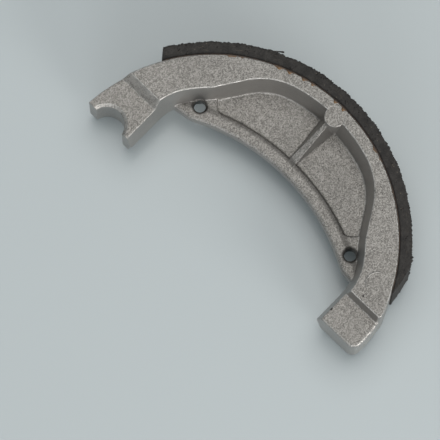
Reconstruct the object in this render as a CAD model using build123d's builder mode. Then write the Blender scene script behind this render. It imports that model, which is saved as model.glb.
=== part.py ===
from build123d import *
import os
from math import asin, cos, degrees, hypot, radians, sin, sqrt, tan

# Bonded drum brake shoe for a small motorcycle hub, for a 110 mm drum.
# The drum axis is the Z axis and the shoe lies flat, its lower rim face on z = 0.
# +X runs from the drum axis through the middle of the shoe, +Y points to the anchor end.

os.makedirs("parts", exist_ok=True)

# ---- Sizes, in millimetres and degrees ----------------------------------------------------

# Friction lining and the glue film under it
lining_radius = 54.75        # friction face, just under the 55 mm drum radius
lining_thickness = 3.5
lining_inset = 0.3           # how far the lining stays inside both rim faces
bond_thickness = 0.12
lining_anchor_angle = 59.8   # inner corner of the square-cut end
lining_anchor_lean = 1.4     # the cut leans back by this much at the friction face
lining_cam_angle = -62.6     # inner tip of the long bevel
lining_bevel_angle = -54.3   # where the bevel leaves the friction face
lining_tip_thickness = 0.3

# Rim and the two end blocks
shoe_width = 25.0
anchor_face_x = 3.95         # plane of the anchor end's face
cam_face_x = 5.2             # plane of the cam end's face
cam_block_angle = -69.4      # from here the cam block's outer side leaves the rim circle
cam_block_round = 30.0
cam_block_drop = 2.15        # how far it has come inside the rim circle at the cam face
cam_block_blend = 15.0       # rounding where it leaves the rim circle
rim_thickness = 3.35         # behind the middle of the lining
shoulder_thickness = 9.25    # near both end blocks
anchor_ramp = (44.0, 25.4)   # inner face of the rim ramps between these angles
cam_ramp = (-46.2, -27.4)
ramp_start_round = 10.0
ramp_end_round = 20.0
block_thickness = 13.88      # from the rim's end to the block's inner face, at the rim face
block_inner_round = 16.0
draft_angle = 10.0

# Lowered pads on the end blocks
pad_depth = 3.75
anchor_pad_length = 11.1
anchor_step_run = 2.4
cam_pad_length = 9.75
cam_step_run = 1.1

# Anchor notch for a 10 mm pin
notch_radius = 5.0
notch_x = 2.9
notch_inset = 7.68           # from the rim's end
notch_chamfer = 0.9

# Web with its raised bead along the inner edge
web_thickness = 5.4
field_depth = 1.0            # the two fields lie this much below the bead
web_reach = 23.43            # from the lining side of the rim to the innermost point of the web
web_edge_y = 0.4
web_edge_radius = 62.0
bead_width = 4.4             # in the middle of the shoe
field_anchor_angle = 41.8    # ends of the two fields
field_cam_angle = -42.6
field_corner_round = 2.0
anchor_tab_width = 8.3       # straight stretch of the web's edge beside each end block
anchor_tab_lean = 1.3        # how far it leans away from the middle of the shoe
cam_tab_width = 6.5
cam_tab_lean = 0.7
tab_round = 6.0

# Spring holes
spring_hole_diameter = 3.4
spring_hole_flare = 0.5      # bevel at its mouths
spring_hole_nick = 1.0       # the bevelling drill also cuts this high into the wall beside it
anchor_hole_inset = 12.6     # from the lining side of the rim
anchor_hole_angle = 49.2
cam_hole_inset = 13.05
cam_hole_angle = -50.5

# Ejector pad on the rim and the gusset that runs up to it
pad_radius = 2.9
pad_setback = 0.08           # from the rim's inner face to the pad's centre
ejector_y = -0.6
ejector_sink = 0.15
gusset_inset = 3.3           # from the web's edge to where the gusset starts to rise
gusset_low_half_width = 1.2
gusset_top_half_width = 0.4
gusset_foot_half_width = 3.4
gusset_top = 2.2             # how far its top stays below the rim face at the pad

# Edge rounding
wall_foot_round = 0.6
gusset_foot_round = 0.5
step_foot_round = 0.5
edge_round = 0.4
bead_round = 0.8
web_edge_round = 1.1
cam_corner_round = 2.5
cam_edge_round = 0.7
match = 0.01                 # how closely an edge must meet the size it is picked by

# ---- Places worked out from the sizes -------------------------------------------------------

lining_width = shoe_width - 2 * lining_inset
lining_inner_radius = lining_radius - lining_thickness
rim_radius = lining_inner_radius - bond_thickness
rim_end_y = sqrt(rim_radius**2 - anchor_face_x**2)
block_inner_y = rim_end_y - block_thickness
notch_y = rim_end_y - notch_inset
parting_z = shoe_width / 2
thin_radius = rim_radius - rim_thickness
thick_radius = rim_radius - shoulder_thickness
root_radius = rim_radius - rim_thickness / 2     # the web and gusset end inside the rim wall
web_top = web_thickness / 2                      # heights above the parting plane
field_top = web_top - field_depth
rim_top = shoe_width / 2
pad_top = rim_top - pad_depth
web_edge_x = rim_radius - web_reach
edge_center_x = web_edge_x - web_edge_radius
bead_radius = web_edge_radius + bead_width
shoulder_foot = thick_radius - (rim_top - field_top) * tan(radians(draft_angle))
ejector_x = thin_radius - pad_setback            # the pad stands astride the rim's inner face
gusset_start_x = web_edge_x + gusset_inset


def polar(radius, angle):
    return (radius * cos(radians(angle)), radius * sin(radians(angle)))


def on_edge(y):
    """The point of the web's edge arc at a given Y."""
    return (edge_center_x + sqrt(web_edge_radius**2 - (y - web_edge_y) ** 2), y)


def bead_crossing(angle):
    """Where the bead's outer edge crosses the radial line at an angle."""
    along = edge_center_x * cos(radians(angle)) + web_edge_y * sin(radians(angle))
    across = edge_center_x * sin(radians(angle)) - web_edge_y * cos(radians(angle))
    return polar(along + sqrt(bead_radius**2 - across**2), angle)


def level_edges(part, height):
    """Edges that lie wholly at a height above the parting plane."""
    z = parting_z + height
    return part.edges().filter_by_position(Axis.Z, z - match, z + match)


def reach(edge):
    """How far the middle of an edge lies from the drum axis."""
    middle = edge @ 0.5
    return hypot(middle.X, middle.Y)


def middle_y(edge):
    return (edge @ 0.5).Y


def past_bead(edge):
    """True where the middle of an edge lies on the bead's outer edge or beyond it."""
    middle = edge @ 0.5
    return hypot(middle.X - edge_center_x, middle.Y - web_edge_y) > bead_radius - match


anchor_hole = polar(rim_radius - anchor_hole_inset, anchor_hole_angle)
cam_hole = polar(rim_radius - cam_hole_inset, cam_hole_angle)
anchor_leave = on_edge(block_inner_y - anchor_tab_width)
cam_leave = on_edge(cam_tab_width - block_inner_y)
parting = Plane.XY.offset(parting_z)
rim_face = Plane.XY.offset(shoe_width)


def nearest(vertices, points):
    """The vertex of a sketch that lies nearest to each of the points."""
    return [vertices.sort_by_distance(point)[0] for point in points]


with BuildPart() as shoe_casting:
    # The half above the parting plane comes first: a circle cut off at the end faces, and set
    # back further on the outer side of the cam block
    with BuildSketch(parting) as outline:
        Circle(rim_radius)
        with Locations((anchor_face_x, 0)):
            beyond = (Align.MIN, Align.CENTER)
            Rectangle(rim_radius, 2 * rim_radius, align=beyond, mode=Mode.INTERSECT)
        with BuildLine():
            cam_corner = (cam_face_x, cam_block_drop - sqrt(rim_radius**2 - cam_face_x**2))
            cam_side = RadiusArc(polar(rim_radius, cam_block_angle), cam_corner, cam_block_round)
            Polyline(
                cam_side @ 1,
                (cam_face_x, 0),
                (0, 0),
                (0, -2 * rim_radius),
                cam_side @ 0,
            )
        make_face(mode=Mode.SUBTRACT)
        fillet(nearest(outline.vertices(), (cam_side @ 0,)), cam_block_blend)
        fillet(nearest(outline.vertices(), (cam_corner,)), cam_corner_round)
    extrude(amount=rim_top)

    # Hollow inside the rim, drawn at the rim face and drafted down to the parting plane
    with BuildSketch(rim_face) as hollow:
        with BuildLine():
            shoulder_end = degrees(asin(block_inner_y / thick_radius))
            anchor_arc = CenterArc((0, 0), thick_radius, shoulder_end, anchor_ramp[0] - shoulder_end)
            middle_arc = CenterArc((0, 0), thin_radius, anchor_ramp[1], cam_ramp[1] - anchor_ramp[1])
            cam_arc = CenterArc((0, 0), thick_radius, cam_ramp[0], -shoulder_end - cam_ramp[0])
            Line(anchor_arc @ 1, middle_arc @ 0)
            Line(middle_arc @ 1, cam_arc @ 0)
            Polyline(
                cam_arc @ 1,
                (-rim_radius, -block_inner_y),
                (-rim_radius, block_inner_y),
                anchor_arc @ 0,
            )
        make_face()
        for bends, rounding in (
            ((anchor_arc @ 0, cam_arc @ 1), block_inner_round),
            ((anchor_arc @ 1, cam_arc @ 0), ramp_start_round),
            ((middle_arc @ 0, middle_arc @ 1), ramp_end_round),
        ):
            fillet(nearest(hollow.vertices(), bends), rounding)
    extrude(amount=-rim_top, taper=draft_angle, mode=Mode.SUBTRACT)

    # Web: a plate from its inner edge out into the rim wall
    with BuildSketch(parting) as web:
        with BuildLine():
            ThreePointArc(cam_leave, (web_edge_x, web_edge_y), anchor_leave)
            web_root = CenterArc((0, 0), root_radius, -shoulder_end, 2 * shoulder_end)
            anchor_wall = (anchor_leave[0] - anchor_tab_lean, block_inner_y)
            cam_wall = (cam_leave[0] - cam_tab_lean, -block_inner_y)
            Polyline(anchor_leave, anchor_wall, web_root @ 1)
            Polyline(cam_leave, cam_wall, web_root @ 0)
        make_face()
        fillet(nearest(web.vertices(), (anchor_leave, cam_leave)), tab_round)
    extrude(amount=field_top)

    # Bead along the web's inner edge: the web's outline less the lowered fields
    with BuildSketch(parting) as bead:
        add(web.sketch_local)
        with BuildLine():
            field_sweep = field_anchor_angle - field_cam_angle
            field_root = CenterArc((0, 0), root_radius, field_cam_angle, field_sweep)
            field_anchor = bead_crossing(field_anchor_angle)
            field_cam = bead_crossing(field_cam_angle)
            ThreePointArc(field_cam, (web_edge_x + bead_width, web_edge_y), field_anchor)
            Line(field_anchor, field_root @ 1)
            Line(field_cam, field_root @ 0)
        make_face(mode=Mode.SUBTRACT)
        fillet(nearest(bead.vertices(), (field_anchor, field_cam)), field_corner_round)
    extrude(amount=web_top)

    # The bead's edge towards the fields and the web's own edge, both rounded
    web_edges = level_edges(shoe_casting, web_top)
    fillet(web_edges.filter_by(past_bead).filter_by(lambda e: reach(e) < shoulder_foot), bead_round)
    web_edges = level_edges(shoe_casting, web_top).filter_by(GeomType.CIRCLE)
    fillet(web_edges.filter_by(lambda e: abs(e.radius - web_edge_radius) < match), web_edge_round)

    # Gusset: rises from the bead to the ejector pad, with drafted sides that widen as it rises
    for x, foot, crest, top in (
        (gusset_start_x, gusset_low_half_width, gusset_low_half_width, web_top),
        (ejector_x, gusset_foot_half_width, gusset_top_half_width, rim_top - gusset_top),
    ):
        with BuildSketch(Plane(origin=(x, 0, parting_z), x_dir=(0, 1, 0), z_dir=(1, 0, 0))):
            with BuildLine():
                Polyline((-foot, 0), (foot, 0), (crest, top), (-crest, top), close=True)
            make_face()
    loft(ruled=True)

    # Ejector pad, a column in the rim wall that ends just under the rim face
    with BuildSketch(parting):
        with Locations((ejector_x, ejector_y)):
            Circle(pad_radius)
    extrude(amount=rim_top)

    # Lowered pads on both end blocks, each with a sloped step up to the rim face
    side_view = Plane(origin=(0, 0, parting_z), x_dir=(1, 0, 0), z_dir=(0, -1, 0))
    for side, step_foot, run in (
        (1, anchor_face_x + anchor_pad_length, anchor_step_run),
        (-1, cam_face_x + cam_pad_length, cam_step_run),
    ):
        with BuildSketch(side_view):
            with BuildLine():
                Polyline(
                    (-step_foot, pad_top),
                    (step_foot, pad_top),
                    (step_foot + run, rim_top),
                    (step_foot + run, 2 * rim_top),
                    (-step_foot, 2 * rim_top),
                    close=True,
                )
            make_face()
        extrude(amount=-side * rim_radius, mode=Mode.SUBTRACT)

    # Anchor notch
    with BuildSketch(parting):
        with Locations((notch_x, notch_y)):
            Circle(notch_radius)
    extrude(amount=shoe_width, mode=Mode.SUBTRACT)

    # Chamfer round the notch, then the foot of each step
    notch_rim = level_edges(shoe_casting, pad_top).filter_by(GeomType.CIRCLE)
    chamfer(notch_rim.sort_by_distance((notch_x, notch_y, parting_z))[0], notch_chamfer)
    step_feet = level_edges(shoe_casting, pad_top).filter_by(Axis.Y)
    fillet(step_feet.filter_by(lambda e: (e @ 0.5).X > notch_x + notch_radius), step_foot_round)

    # Cam end: the edges of its pad that face outward
    pad_edges = level_edges(shoe_casting, pad_top).filter_by(lambda e: middle_y(e) < -block_inner_y)
    pad_edges = pad_edges.filter_by(
        lambda e: (e @ 0.5).X < cam_face_x + cam_corner_round or reach(e) > rim_radius - cam_corner_round
    )
    fillet(pad_edges, cam_edge_round)

    # Feet of the rim wall and of the gusset, down in the fields
    feet = level_edges(shoe_casting, field_top)
    fillet(feet.filter_by(lambda e: reach(e) > shoulder_foot), wall_foot_round)
    feet = level_edges(shoe_casting, field_top).filter_by(lambda e: reach(e) < shoulder_foot)
    fillet(feet.filter_by(lambda e: abs(middle_y(e)) < gusset_foot_half_width), gusset_foot_round)

    # Spring holes, each cut by a stepped drill whose shoulder bevels the hole's mouth
    bore = spring_hole_diameter / 2
    for hole in (anchor_hole, cam_hole):
        with BuildSketch(Plane(origin=(*hole, parting_z), x_dir=(1, 0, 0), z_dir=(0, -1, 0))):
            with BuildLine():
                Polyline(
                    (0, 0),
                    (bore, 0),
                    (bore, web_top - spring_hole_flare),
                    (bore + spring_hole_flare, web_top),
                    (bore + spring_hole_flare, web_top + spring_hole_nick),
                    (0, web_top + spring_hole_nick),
                    close=True,
                )
            make_face()
        revolve(axis=Axis((*hole, parting_z), (0, 0, 1)), mode=Mode.SUBTRACT)

    # Top of each step: this rounding runs on along the rim's outer edge, under the lining
    fillet(level_edges(shoe_casting, rim_top).filter_by(Axis.Y), edge_round)

    # Inner edge of the rim face, then the edges of both pads on the hub side of the notch
    rim_edges = level_edges(shoe_casting, rim_top).filter_by(Axis.Y, reverse=True)
    rim_edges = rim_edges.filter_by(lambda e: abs(middle_y(e) - ejector_y) > pad_radius)
    fillet(rim_edges.filter_by(lambda e: reach(e) < root_radius), edge_round)
    pad_edges = level_edges(shoe_casting, pad_top)
    fillet(pad_edges.filter_by(lambda e: abs(middle_y(e)) < notch_y - notch_radius), edge_round)

    mirror(about=parting)

    # The ejector pad ends a little below the rim face
    for face, inward in ((rim_face, -1), (Plane.XY, 1)):
        with BuildSketch(face):
            with Locations((ejector_x, ejector_y)):
                Circle(pad_radius)
        extrude(amount=inward * ejector_sink, mode=Mode.SUBTRACT)
shoe_casting.part.label = "shoe_casting"
export_step(shoe_casting.part, "parts/shoe_casting.step")

# Friction lining: square-cut at the anchor end, bevelled down to a thin tip at the cam end
lining_bottom = Plane.XY.offset((shoe_width - lining_width) / 2)
lining_sweep = lining_anchor_angle - lining_cam_angle
with BuildPart() as friction_lining:
    with BuildSketch(lining_bottom):
        with BuildLine():
            inner = CenterArc((0, 0), lining_inner_radius, lining_cam_angle, lining_sweep)
            outer_end = lining_anchor_angle - lining_anchor_lean
            outer = CenterArc((0, 0), lining_radius, lining_bevel_angle, outer_end - lining_bevel_angle)
            tip = polar(lining_inner_radius + lining_tip_thickness, lining_cam_angle)
            Line(inner @ 1, outer @ 1)
            Polyline(outer @ 0, tip, inner @ 0)
        make_face()
    extrude(amount=lining_width)
friction_lining.part.label = "friction_lining"
export_step(friction_lining.part, "parts/friction_lining.step")

# Cured glue film between the rim and the lining
with BuildPart() as adhesive_bond:
    with BuildSketch(lining_bottom):
        with BuildLine():
            glue_rim = CenterArc((0, 0), rim_radius, lining_cam_angle, lining_sweep)
            glue_lining = CenterArc((0, 0), lining_inner_radius, lining_cam_angle, lining_sweep)
            Line(glue_rim @ 0, glue_lining @ 0)
            Line(glue_rim @ 1, glue_lining @ 1)
        make_face()
    extrude(amount=lining_width)
adhesive_bond.part.label = "adhesive_bond"
export_step(adhesive_bond.part, "parts/adhesive_bond.step")
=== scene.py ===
import bpy
import numpy as np
from mathutils import Matrix, Vector


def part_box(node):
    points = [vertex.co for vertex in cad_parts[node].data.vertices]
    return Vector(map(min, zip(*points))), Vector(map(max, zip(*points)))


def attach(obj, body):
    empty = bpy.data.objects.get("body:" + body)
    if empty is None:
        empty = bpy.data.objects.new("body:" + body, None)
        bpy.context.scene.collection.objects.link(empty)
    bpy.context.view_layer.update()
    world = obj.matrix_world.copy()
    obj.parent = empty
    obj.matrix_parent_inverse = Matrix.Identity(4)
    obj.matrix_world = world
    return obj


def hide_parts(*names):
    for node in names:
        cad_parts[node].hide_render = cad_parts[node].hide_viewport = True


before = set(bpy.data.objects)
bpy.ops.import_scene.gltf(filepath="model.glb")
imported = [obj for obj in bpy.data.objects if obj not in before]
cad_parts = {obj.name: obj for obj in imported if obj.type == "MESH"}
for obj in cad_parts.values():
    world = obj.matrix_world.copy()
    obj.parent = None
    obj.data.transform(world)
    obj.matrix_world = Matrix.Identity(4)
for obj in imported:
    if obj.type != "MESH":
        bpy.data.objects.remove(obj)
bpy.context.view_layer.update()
mm = 0.001
print("frame loaded")


class Signal:                                       # a socket that takes part in arithmetic
    def __init__(self, shader, socket):
        self.shader = shader
        self.socket = socket

    def join(self, operation, first, second=0.0, clamp=False):
        settings = {"operation": operation, "use_clamp": clamp}
        return self.shader.node("ShaderNodeMath", settings, {0: first, 1: second})

    def __add__(self, other):
        return self.join("ADD", self, other)

    def __radd__(self, other):
        return self.join("ADD", other, self)

    def __sub__(self, other):
        return self.join("SUBTRACT", self, other)

    def __rsub__(self, other):
        return self.join("SUBTRACT", other, self)

    def __mul__(self, other):
        return self.join("MULTIPLY", self, other)

    def __rmul__(self, other):
        return self.join("MULTIPLY", other, self)

    def __pow__(self, other):
        return self.join("POWER", self, other)

    def size(self):                                 # without its sign
        return self.join("ABSOLUTE", self)

    def clamped(self):
        return self.join("ADD", self, 0.0, clamp=True)

    def least(self, other):
        return self.join("MINIMUM", self, other)

    def step(self, low, high):                      # smooth 0 to 1 as the value goes from low to high
        settings = {"interpolation_type": "SMOOTHSTEP"}
        sockets = {"Value": self, "From Min": low, "From Max": high}
        return self.shader.node("ShaderNodeMapRange", settings, sockets)

    def fade(self, low, high):                      # smooth 1 to 0 as the value goes from low to high
        return 1 - self.step(low, high)


class Shader:                                       # one material and the nodes that are added to it
    def __init__(self, name):
        self.material = bpy.data.materials.new(name)
        self.material.use_nodes = True
        self.tree = self.material.node_tree
        self.tree.nodes.clear()
        self.place = self.node("ShaderNodeTexCoord", output="Object")

    def node(self, kind, settings=None, sockets=None, output=0):
        made = self.tree.nodes.new(kind)
        for name, value in (settings or {}).items():
            setattr(made, name, value)
        for name, value in (sockets or {}).items():
            self.feed(made.inputs[name], value)
        return Signal(self, made.outputs[output])

    def feed(self, socket, value):
        if isinstance(value, Signal):
            self.tree.links.new(value.socket, socket)
        else:
            socket.default_value = value

    # Noise from 0 to 1, with its size in metres
    def noise(self, size, detail=2.0, rough=0.5, warp=0.0, place=None, output=0):
        sockets = {"Vector": place or self.place, "Scale": 1 / size}
        sockets |= {"Detail": detail, "Roughness": rough, "Distortion": warp}
        return self.node("ShaderNodeTexNoise", None, sockets, output)

    def cells(self, size, place=None, output="Distance"):
        sockets = {"Vector": place or self.place, "Scale": 1 / size}
        return self.node("ShaderNodeTexVoronoi", None, sockets, output)

    def apart(self, vector):                        # x, y and z of a vector
        made = self.node("ShaderNodeSeparateXYZ", None, {"Vector": vector})
        return [Signal(self, out) for out in made.socket.node.outputs]

    def vector(self, operation, sockets):
        return self.node("ShaderNodeVectorMath", {"operation": operation}, sockets, "Vector")

    def blendColour(self, factor, first, second):   # the Mix node's colour sockets are its inputs 6 and 7
        node = self.node("ShaderNodeMix", {"data_type": "RGBA"}, {"Factor": factor}).socket.node
        for socket, value in ((node.inputs[6], first), (node.inputs[7], second)):
            self.feed(socket, value if isinstance(value, Signal) else (*value, 1))
        return Signal(self, node.outputs[2])

    def rounded(self, radius, samples):             # the normal, softened near edges
        return self.node("ShaderNodeBevel", {"samples": samples}, {"Radius": radius})

    def bumped(self, height, depth, normal=None):
        sockets = {"Strength": 1.0, "Distance": depth, "Height": height}
        if normal:
            sockets["Normal"] = normal
        return self.node("ShaderNodeBump", None, sockets)

    def lit(self, constants, colour, rough, normal=None):
        sockets = {"Base Color": colour, "Roughness": rough, **constants}
        if normal:
            sockets["Normal"] = normal
        body = self.node("ShaderNodeBsdfPrincipled", None, sockets)
        out = self.tree.nodes.new("ShaderNodeOutputMaterial")
        self.tree.links.new(body.socket, out.inputs["Surface"])
        return self.material


def scaled(colour, factor):
    return tuple(part * factor for part in colour)


casting = {
    "light": (0.43, 0.411, 0.383),                  # grainy skin of the flats
    "dark": (0.070, 0.065, 0.059),
    "wall": (0.34, 0.325, 0.308),                   # smooth drafted walls, as they left the die
    # colour of rubbed edges, also used for painted highlights and glints
    "edge": (0.60, 0.58, 0.55),
    # colour of grime and pores, and of painted shade in corners and beside the bead
    "grimeAndShade": (0.075, 0.070, 0.064),
    "metal": 0.80,
    "grainSize": 0.33 * mm,
    "coarseSize": 1.5 * mm,
    "lumpSize": 5 * mm,
    "patchSize": 13 * mm,
    "grainHeight": 0.21 * mm,
    "facetSize": 0.29 * mm,                         # crystals of the skin
    "shakeSize": 0.40 * mm,                         # noise that makes their borders uneven
    "shake": 0.25 * mm,
    "poreSpacing": 2.4 * mm,
    "edgeRadius": 0.50 * mm,
    "cornerReach": 2.0 * mm,
    "middle": 12.5 * mm,                            # height of the parting plane
    # zones, each with the two distances between which it fades out
    "webSide": (3.0 * mm, 3.6 * mm),                # from the parting plane
    "wallFoot": (3.2 * mm, 4.0 * mm),
    "gussetTop": (10.8 * mm, 11.6 * mm),
    "gussetFlank": (3.0 * mm, 3.6 * mm),            # from the middle of the shoe, to both sides
    "beadEnds": (36 * mm, 38 * mm),
    "beadMiddle": (-0.0343, 0.0004),                # the bead's outer edge is an arc about this point
    "beadRadius": 65.9 * mm,
    "beadBand": (0.35 * mm, 1.2 * mm),              # the painted shade band there, from the arc
    "springHoles": ((0.02518, 0.02917), (0.02422, -0.02938)),
    "mouth": (2.0 * mm, 2.7 * mm),                  # darker ring in a hole's mouth, from the hole's axis
    "blockSide": -0.0484,                           # the cam block's rough side lies beyond this y
    # a pore and a nick in the cam block: x and y in metres, then the size in mm
    "pits": ((0.0174, -0.0405, 0.50), (0.0092, -0.0362, 0.85)),
    "flowMark": (0.0226, -0.0410),
    "flowRadius": 3.5 * mm,
}


def castAluminium():
    s = Shader("castAluminium")
    x, y, z = s.apart(s.place)
    radius = (x * x + y * y) ** 0.5
    fromMiddle = (z - casting["middle"]).size()

    def distance(point):                            # from an upright line through a point in plan
        return ((x - point[0]) ** 2.0 + (y - point[1]) ** 2.0) ** 0.5

    fine = s.noise(casting["grainSize"], 2.0, 0.6)
    coarse = s.noise(casting["coarseSize"], 2.0, 0.5, 0.4)
    lumps = s.noise(casting["lumpSize"], 2.0, 0.5)
    patches = s.noise(casting["patchSize"], 3.0, 0.55)
    shaken = s.noise(casting["shakeSize"], 1.0, output="Color")
    nudge = s.vector("SCALE", {0: shaken, "Scale": casting["shake"]})
    nudged = s.vector("ADD", {0: s.place, 1: nudge})
    facets = s.apart(s.cells(casting["facetSize"], nudged, "Color"))[0]      # each crystal has its own tone
    grain = (fine * 0.60 + facets * 0.40).step(0.26, 0.74)

    softened = s.rounded(casting["edgeRadius"], 8)
    facing = s.node("ShaderNodeNewGeometry", output="Normal")
    tilt = s.apart(softened)[2].size()                                       # 1 where level, 0 where upright
    level = s.apart(facing)[2].size().step(0.25, 0.60)                       # 1 on the flats, 0 on the walls
    occlusion = {"Distance": casting["cornerReach"]}
    inCorner = 1 - s.node("ShaderNodeAmbientOcclusion", {"samples": 8}, occlusion, "AO")

    # Painted shade: a dark band along the bead's outer edge, where its slope faces away from the light
    fromBead = (distance(casting["beadMiddle"]) - casting["beadRadius"]).size()
    beadShade = fromBead.fade(*casting["beadBand"]) * fromMiddle.fade(*casting["webSide"])
    beadShade = beadShade * y.size().fade(*casting["beadEnds"])

    # Rubbed wear and painted highlight: bright lines on the outer edges, fainter on the gusset and on the web
    onGusset = y.size().fade(*casting["gussetFlank"]) * fromMiddle.fade(*casting["gussetTop"])
    onGusset = onGusset * (0.35 + (radius - 34 * mm).step(0, 6 * mm) * 0.5)
    wearAndHighlight = inCorner.fade(0.20, 0.40) * tilt.step(0.40, 0.62) * tilt.fade(0.93, 0.99)
    wearAndHighlight = wearAndHighlight * (1 - onGusset) * (1 - beadShade) * (fine * 0.9 + coarse * 0.5).step(0.45, 0.82)
    wearAndHighlight = wearAndHighlight * (0.30 + fromMiddle.step(6.0 * mm, 11.5 * mm) * 0.70)

    # The cam block's rough outer side with painted glints, and a painted highlight line at the foot of the
    # rim wall
    torn = (y - casting["blockSide"] + 1.5 * mm * coarse).fade(0, 1.4 * mm)
    torn = torn * radius.step(47.6 * mm, 49.4 * mm)
    # painted highlight along the concave foot of the rim wall
    footHighlight = inCorner.step(0.22, 0.36) * tilt.step(0.40, 0.60) * tilt.fade(0.95, 0.995) * (1 - beadShade)
    footHighlight = footHighlight * radius.step(38 * mm, 41 * mm) * y.size().step(4 * mm, 6 * mm)
    footHighlight = footHighlight * fromMiddle.fade(*casting["wallFoot"])
    # painted glints: bright speckles on the cam block's rough side, added to the painted edge highlight
    wearAndHighlight = (wearAndHighlight + footHighlight * 0.9 + torn * (fine * 0.6 + facets * 0.4).step(0.45, 0.62) * 0.7).clamped()

    # Painted shade in corners (from occlusion) and along the bead, a darker ring in the holes' mouths, pores,
    # and a flow mark: a ring of which one part shows
    fromHole = [distance(hole) for hole in casting["springHoles"]]
    mouth = fromHole[0].least(fromHole[1]).fade(*casting["mouth"])
    specks = s.cells(casting["poreSpacing"]).fade(0.035, 0.085) * level
    # painted shade: darkening in corners by occlusion, plus the bead's painted shade band and the darker hole
    # mouths
    dirtAndShade = inCorner.step(0.62, 0.95) * (0.2 + coarse * 0.4) + beadShade * 0.5 + mouth * 0.7
    dirtAndShade = (dirtAndShade + specks * 0.8).clamped()
    pit = 0
    for across, along, size in casting["pits"]:
        fromPit = distance((across, along)) + 0.3 * mm * coarse
        pit = pit + fromPit.fade(size * 0.5 * mm, size * mm) * level
    fromMark = (distance(casting["flowMark"]) + 0.7 * mm * coarse - casting["flowRadius"]).size()
    mark = fromMark.fade(0.0, 0.30 * mm) * level * (y - casting["flowMark"][1]).step(1.0 * mm, 2.2 * mm)

    tone = (grain * 0.62 + patches * 0.28 + coarse * 0.16).clamped()
    skin = s.blendColour(tone, casting["dark"], casting["light"])
    shade = (patches * 0.7 + fine * 0.3).step(0.30, 0.70)
    smooth = s.blendColour(shade, scaled(casting["wall"], 0.9), scaled(casting["wall"], 1.1))
    colour = s.blendColour(level, smooth, skin)
    # painted highlights on edges and at the wall foot, painted glints on the cam block's side, rubbed wear,
    # and the flow mark
    colour = s.blendColour((wearAndHighlight + mark * 0.4).clamped(), colour, casting["edge"])
    # grime and pores, with painted shade in corners and beside the bead
    colour = s.blendColour((dirtAndShade + pit).clamped(), colour, casting["grimeAndShade"])
    rough = 0.33 + level * 0.07 + grain * 0.10 - wearAndHighlight * 0.05 + dirtAndShade * 0.2
    height = (fine * 0.70 + facets * 0.30) * (0.15 + (level + torn).clamped() * 0.85)
    height = height + (coarse * 0.55 + lumps * 0.8) * (0.3 + level * 0.7)
    height = height + mark * 0.8 - pit * 1.6 - specks * 0.8
    normal = s.bumped(height, casting["grainHeight"], softened)
    return s.lit({"Metallic": casting["metal"], "Specular IOR Level": 0.45}, colour, rough, normal)


lining = {
    "base": (0.020, 0.0185, 0.0175),
    "pale": (0.053, 0.049, 0.045),
    "fibre": (0.15, 0.125, 0.095),
    "pore": (0.008, 0.007, 0.006),
    "fibreSize": 0.30 * mm,
    "fibreStretch": (0.14, 1.0, 1.0),               # fibres lie along the arc
    "gritSize": 0.42 * mm,
    "blotSize": 2.2 * mm,
    "fleckSpacing": 1.2 * mm,
    "poreSpacing": 0.8 * mm,
    "grain": 0.15 * mm,
    "edgeRadius": 0.3 * mm,
    "arc": 0.0530,                                  # metres for each radian, at the lining's middle
    "nearJoint": (51.55 * mm, 52.15 * mm),             # the lining is darker along its inner edge
    "inner": 51.25 * mm,
    "outer": 54.75 * mm,
    "low": 0.3 * mm,
    "high": 24.7 * mm,
    "from": -62.6,                                  # tip of the bevel, in degrees round the drum axis
    "bevel": -54.3,                                 # where the bevel ends
    "to": 59.8,                                     # square-cut end
    "tip": 0.35 * mm,
    "lean": 1.4,                                    # degrees that the square-cut end leans back at the face
    "rings": 1500,
    "ragged": 0.13 * mm,
    "chipped": 0.11 * mm,
    "cornerSpread": 0.006,
    # torn places: degrees, reach in degrees, how far they stand out in mm
    "torn": ((-51.8, 1.4, 0.42), (-44.6, 0.5, 0.20), (-12.5, 0.5, 0.16),
             (-33.2, 0.6, 0.18), (25.8, 0.5, 0.25), (41.0, 0.4, 0.12)),
}


def mouldedLining():
    s = Shader("mouldedLining")
    x, y, z = s.apart(s.place)
    angle = s.node("ShaderNodeMath", {"operation": "ARCTAN2"}, {0: y, 1: x})
    radius = (x * x + y * y) ** 0.5
    along = s.node("ShaderNodeCombineXYZ", None, {"X": angle * lining["arc"], "Y": radius, "Z": z})
    strands = s.node("ShaderNodeMapping", None, {"Vector": along, "Scale": lining["fibreStretch"]})
    fibres = s.noise(lining["fibreSize"], 2.0, 0.55, 0.8, strands).step(0.60, 0.72)
    grit = s.noise(lining["gritSize"], 3.0, 0.65)
    blots = s.noise(lining["blotSize"], 3.0, 0.6)
    flecks = s.cells(lining["fleckSpacing"]).fade(0.05, 0.20) * s.noise(1.1 * mm, 0.0).step(0.52, 0.60)
    pores = s.cells(lining["poreSpacing"]).fade(0.12, 0.36) * s.noise(2.0 * mm, 1.0).step(0.46, 0.60)
    nearJoint = (radius + 0.5 * mm * blots).fade(*lining["nearJoint"])
    colour = s.blendColour((grit * 0.7 + blots * 0.6).step(0.42, 0.98), lining["base"], lining["pale"])
    colour = s.blendColour((fibres * 0.30 + flecks * 0.7).clamped(), colour, lining["fibre"])
    colour = s.blendColour((pores * 0.8 + nearJoint * 0.85).clamped(), colour, lining["pore"])
    height = grit * 0.7 + blots * 0.9 + fibres * 0.5 - pores * 0.9
    normal = s.bumped(height, lining["grain"], s.rounded(lining["edgeRadius"], 4))
    return s.lit({"Specular IOR Level": 0.3}, colour, 0.72 + grit * 0.18, normal)


glue = {
    "thin": (0.155, 0.082, 0.030),
    "thick": (0.024, 0.013, 0.008),
    "onRim": (50.75 * mm, 51.30 * mm),              # radii between which it turns from light to dark
    "blotSize": 0.9 * mm,
    "patchSize": 3.5 * mm,
    "speckSize": 0.25 * mm,
    "grain": 0.06 * mm,
}


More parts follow.
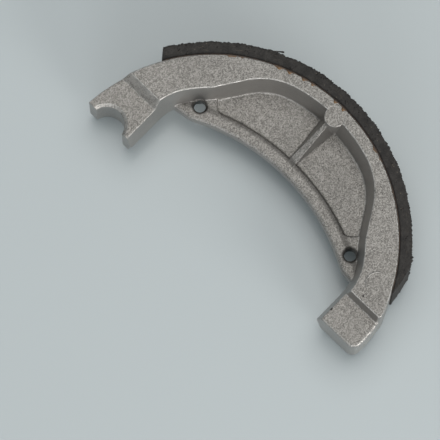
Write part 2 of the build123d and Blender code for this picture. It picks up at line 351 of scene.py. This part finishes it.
def curedResin():
    s = Shader("curedResin")
    x, y = s.apart(s.place)[:2]
    blots = s.noise(glue["blotSize"], 3.0, 0.6)
    patches = s.noise(glue["patchSize"], 2.0, 0.5)
    specks = s.noise(glue["speckSize"], 2.0, 0.5)
    onRim = ((x * x + y * y) ** 0.5 + 0.35 * mm * blots).fade(*glue["onRim"])
    thinness = onRim * (1 - blots.step(0.48, 0.66) * 0.6)
    thinness = (thinness + (blots * 0.6 + patches * 0.7).step(0.42, 0.86) * 0.22).clamped()
    colour = s.blendColour(thinness, glue["thick"], glue["thin"])
    normal = s.bumped(blots + specks * 0.4, glue["grain"])
    return s.lit({"Specular IOR Level": 0.5}, colour, 0.34 + specks * 0.2, normal)


def wear(node, material):
    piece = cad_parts[node]
    piece.data.materials.clear()
    piece.data.materials.append(material)


resin = curedResin()
wear("shoe_casting", castAluminium())
wear("adhesive_bond", resin)
print("CAD pieces dressed")


# Closed surface from rings of points: rings is (rings, points, 3), each ring a closed loop, both ends capped
def skinOfRings(name, rings, material):
    count, around = rings.shape[:2]
    i, j = np.meshgrid(np.arange(count - 1), np.arange(around), indexing="ij")
    k = (j + 1) % around
    faces = np.stack([i * around + j, (i + 1) * around + j, (i + 1) * around + k, i * around + k], -1)
    last = (count - 1) * around
    caps = [list(range(around)), list(range(last + around - 1, last - 1, -1))]
    mesh = bpy.data.meshes.new(name)
    mesh.from_pydata(rings.reshape(-1, 3).tolist(), [], faces.reshape(-1, 4).tolist() + caps)
    mesh.update()
    piece = bpy.data.objects.new(name, mesh)
    bpy.context.scene.collection.objects.link(piece)
    mesh.materials.append(material)
    mesh.polygons.foreach_set("use_smooth", np.ones(len(mesh.polygons), bool))
    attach(piece, "root")
    return piece


# Lining: a section carried round the drum axis. Its place is (along, around the section): the section's
# corners run from the low inner edge out, up the friction face and back in. The outer radius falls in a
# straight line to the tip along the bevel, the square-cut end leans back as the radius grows, and the outer
# edges are chipped and fuzzy by smoothed noise that is largest at the corners and at a few torn places.
def sweepLining():
    chance = np.random.default_rng(5)
    count, across, up = lining["rings"], 9, 15
    share = np.linspace(0, 1, count)
    outward = np.concatenate([np.linspace(0, 1, across), np.ones(up), np.linspace(1, 0, across), [0, 0]])
    rise = np.concatenate([np.zeros(across), np.linspace(0.02, 0.98, up), np.ones(across), [0.7, 0.3]])
    last = lining["to"] - lining["lean"] * outward
    degrees = lining["from"] + (last - lining["from"])[None, :] * share[:, None]

    def smoothed(width, columns=1):                 # seeded noise, smoothed along the arc, with a spread of 1
        raw = chance.normal(0, 1, (count + 2 * width, columns))
        sums = np.cumsum(raw, 0)
        return (sums[2 * width:] - sums[:-2 * width])[:count] / np.sqrt(2 * width)

    thick = lining["outer"] - lining["inner"]
    slope = ((degrees - lining["from"]) / (lining["bevel"] - lining["from"])).clip(0, 1)
    radius = lining["inner"] + (lining["tip"] + (thick - lining["tip"]) * slope) * outward[None, :]
    corner = np.exp(-(abs(rise - 0.5) - 0.5) ** 2 / lining["cornerSpread"])[None, :] * outward[None, :] ** 6
    fuzz = smoothed(2) * 0.55 + smoothed(5) * 0.55 + smoothed(16) * 0.45
    faceFuzz = smoothed(3, outward.size) * 0.25 + smoothed(9, outward.size) * 0.20
    torn = sum(np.exp(-((degrees - place) / reach) ** 2) * size for place, reach, size in lining["torn"])
    radius = radius + lining["ragged"] * (corner * (fuzz - 0.25) + faceFuzz * outward[None, :] ** 4 * 0.6)
    radius = radius + torn * corner * (0.55 + 0.45 * smoothed(2)) * mm
    level = lining["low"] + (lining["high"] - lining["low"]) * rise[None, :] + degrees * 0
    chip = (smoothed(3) * 0.7 + smoothed(11) * 0.6).clip(0.1) * corner * lining["chipped"]
    level = level + np.where(rise > 0.5, -1, 1)[None, :] * chip
    angle = np.radians(degrees)
    rings = np.stack([radius * np.cos(angle), radius * np.sin(angle), level], -1)
    piece = skinOfRings("lining_moulded", rings, friction)
    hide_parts("friction_lining")


strand = {
    "from": 27.4,                                   # degrees round the drum axis
    "sweep": -4.2,
    "radius": 54.35 * mm,
    "height": 24.75 * mm,
    "drop": 0.5 * mm,
    "thick": 0.20 * mm,
}


# A stray strand: a thin round section along a gentle arc that lifts off the friction face, with a knob near
# its loose end. Each ring lies in the plane square to the path.
def strayStrand():
    share = np.linspace(0, 1, 24)
    angle = np.radians(strand["from"] + strand["sweep"] * share)
    lift = strand["radius"] + (1.35 * share ** 1.2 - 0.25 * share ** 4) * mm
    height = strand["height"] - strand["drop"] * share
    middle = np.stack([lift * np.cos(angle), lift * np.sin(angle), height], -1)
    forward = np.gradient(middle, axis=0)
    forward = forward / np.linalg.norm(forward, axis=1, keepdims=True)
    above = np.array([0, 0, 1.0]) - forward * forward[:, 2:]
    above = above / np.linalg.norm(above, axis=1, keepdims=True)
    beside = np.cross(forward, above)
    turn = np.linspace(2 * np.pi, 0, 8, endpoint=False)[None, :, None]
    thick = strand["thick"] * (1.15 - 0.35 * share + 0.6 * np.exp(-((share - 0.9) / 0.1) ** 2))[:, None, None]
    rings = middle[:, None] + thick * (np.cos(turn) * above[:, None] + np.sin(turn) * beside[:, None])
    skinOfRings("lining_strand", rings, friction)


friction = mouldedLining()
sweepLining()
strayStrand()
print("lining moulded")


squeeze = {
    "from": -62.2,                                  # degrees round the drum axis
    "to": 59.2,
    "rings": 620,
    "radius": 51.19 * mm,                           # middle of the glue line
    "width": 0.27 * mm,
    "height": 0.08 * mm,
    "waves": (0.5, 0.4, 0.35, 0.3, 0.25),           # weights of the base's waves
    "sunkTop": 0.10 * mm,                           # how far the foot lies inside the rim's faces
    "sunkBottom": 0.22 * mm,
    "spread": 1.25,                                 # factor on each blob's width
    # blobs that were squeezed out: place in degrees, reach in degrees, extra width and height in mm
    "blobs": ((38.2, 2.4, 0.55, 0.16), (34.8, 1.6, 0.35, 0.10), (23.0, 2.2, 0.75, 0.22),
              (19.4, 1.5, 0.95, 0.28), (14.4, 1.3, 0.80, 0.24), (11.2, 1.2, 0.60, 0.18),
              (2.4, 1.2, 0.70, 0.20), (-0.9, 1.3, 0.85, 0.24), (-17.0, 1.6, 0.70, 0.20),
              (-20.2, 1.4, 0.45, 0.14), (-31.0, 2.6, 0.15, 0.05)),
}


# Glue bead: its foot runs round the drum axis at the joint, and its section is half a lens.
# Width and height at an angle are a low wavy base plus a bell for each blob, which seeded noise makes
# uneven, and both shrink towards the ends.
def glueBead(name, level, up, seed, share):
    chance = np.random.default_rng(seed)
    angle = np.radians(np.linspace(squeeze["from"], squeeze["to"], squeeze["rings"]))
    waves = sum(np.sin(angle * chance.uniform(14, 260) + chance.uniform(0, 6.3)) * weight
                for weight in squeeze["waves"])
    jitter = np.convolve(chance.normal(0, 1, angle.size), np.ones(3) / 3, "same")
    width = squeeze["width"] * (0.75 + 0.32 * waves).clip(0.25)
    height = squeeze["height"] * (0.8 + 0.3 * waves).clip(0.2)
    for place, reach, wider, taller in squeeze["blobs"]:
        bell = np.exp(-((np.degrees(angle) - place) / (reach * 0.6)) ** 2) * share
        width = width + bell * wider * squeeze["spread"] * mm * (1 + 0.34 * jitter)
        height = height + bell * taller * mm * (1 + 0.22 * jitter)
    fromEnd = np.minimum(np.arange(angle.size), np.arange(angle.size)[::-1])
    ends = (fromEnd / 5).clip(0.1, 1)
    width = (width * ends)[:, None]
    height = (height * ends)[:, None]
    turn = np.linspace(0, 2 * np.pi, 12, endpoint=False)
    across = np.cos(turn)                           # -1 on the rim side, 1 on the lining side
    rise = np.where(np.sin(turn) > 0, np.sin(turn), 0.25 * np.sin(turn))
    drift = (width - squeeze["width"]).clip(0) * 0.35      # a wide blob spreads more over the rim
    radius = squeeze["radius"] - drift + width / 2 * across
    angle = angle[:, None]
    rings = np.stack([radius * np.cos(angle), radius * np.sin(angle), level + up * height * rise], -1)
    if up < 0:
        rings = rings[:, ::-1]                      # keeps the normals outward
    skinOfRings(name, rings, resin)


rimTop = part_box("shoe_casting")[1].z
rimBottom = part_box("shoe_casting")[0].z
glueBead("glue_squeeze_upper", rimTop - squeeze["sunkTop"], 1, 7, 1.0)
glueBead("glue_squeeze_lower", rimBottom + squeeze["sunkBottom"], -1, 19, 0.25)
print("glue squeezed out")


stage = {
    "floor": (0.425, 0.470, 0.480),
    "floorSize": 3.0,                               # metres
    "floorRough": 0.22,
    "gap": 0.02 * mm,
    "world": (0.80, 0.85, 0.88),
    "worldLevel": 0.41,
}


def stageFloor():
    s = Shader("paleFloor")
    colour = s.blendColour(s.noise(0.35, 2.0), scaled(stage["floor"], 0.97), scaled(stage["floor"], 1.03))
    material = s.lit({"Specular IOR Level": 0.35}, colour, stage["floorRough"])
    half = stage["floorSize"] / 2
    corners = [(-half, -half, 0), (half, -half, 0), (half, half, 0), (-half, half, 0)]
    mesh = bpy.data.meshes.new("floor")
    mesh.from_pydata(corners, [], [(0, 1, 2, 3)])
    mesh.materials.append(material)
    floor = bpy.data.objects.new("floor", mesh)
    floor.location.z = rimBottom - stage["gap"]
    bpy.context.scene.collection.objects.link(floor)


# A lamp or camera at a place, looking at a point, with a given direction upright
def aim(thing, place, target, upright):
    forward = (Vector(target) - Vector(place)).normalized()
    right = forward.cross(Vector(upright)).normalized()
    above = right.cross(forward)
    turn = Matrix((right, above, -forward)).transposed()
    thing.matrix_world = Matrix.Translation(place) @ turn.to_4x4()


lighting = {
    "target": (0.03, 0, 0.01),
    "upright": (0.7, 0.7, 0.1),
    "lamps": {
        # name: place in metres, size in metres, power in watts, colour
        "overhead": ((0.30, 0.16, 1.52), 1.2, 11, (1.0, 0.99, 0.97)),
        "front": ((-0.12, -1.30, 0.42), 0.8, 11, (1.0, 0.985, 0.965)),
        "side": ((-1.0, -0.75, 0.48), 0.8, 5, (0.96, 0.98, 1.0)),
    },
}


def lightStage():
    for name, (place, size, power, colour) in lighting["lamps"].items():
        data = bpy.data.lights.new(name, "AREA")
        data.shape = "DISK"
        data.size = size
        data.energy = power
        data.color = colour
        lamp = bpy.data.objects.new(name, data)
        bpy.context.scene.collection.objects.link(lamp)
        aim(lamp, place, lighting["target"], lighting["upright"])
    world = bpy.data.worlds.new("studio")
    world.use_nodes = True
    background = world.node_tree.nodes["Background"]
    background.inputs["Color"].default_value = (*stage["world"], 1)
    background.inputs["Strength"].default_value = stage["worldLevel"]
    bpy.context.scene.world = world


view = {
    "place": (-0.1537, -0.1525, 1.4731),
    "target": (0.00519, 0.00198, 0.025),
    "upright": (0.717, 0.697, 0.0),
    "sensor": 36,                                   # mm, as is the lens
    "lens": 438.8,
    "reach": 10,                                    # metres
}


def standCamera():
    data = bpy.data.cameras.new("camera")
    data.sensor_width = view["sensor"]
    data.lens = view["lens"]
    data.clip_end = view["reach"]
    camera = bpy.data.objects.new("camera", data)
    bpy.context.scene.collection.objects.link(camera)
    aim(camera, view["place"], view["target"], view["upright"])
    bpy.context.scene.camera = camera


stageFloor()
lightStage()
standCamera()
bpy.context.scene.view_settings.view_transform = "Standard"
print("stage, lamps and camera ready")
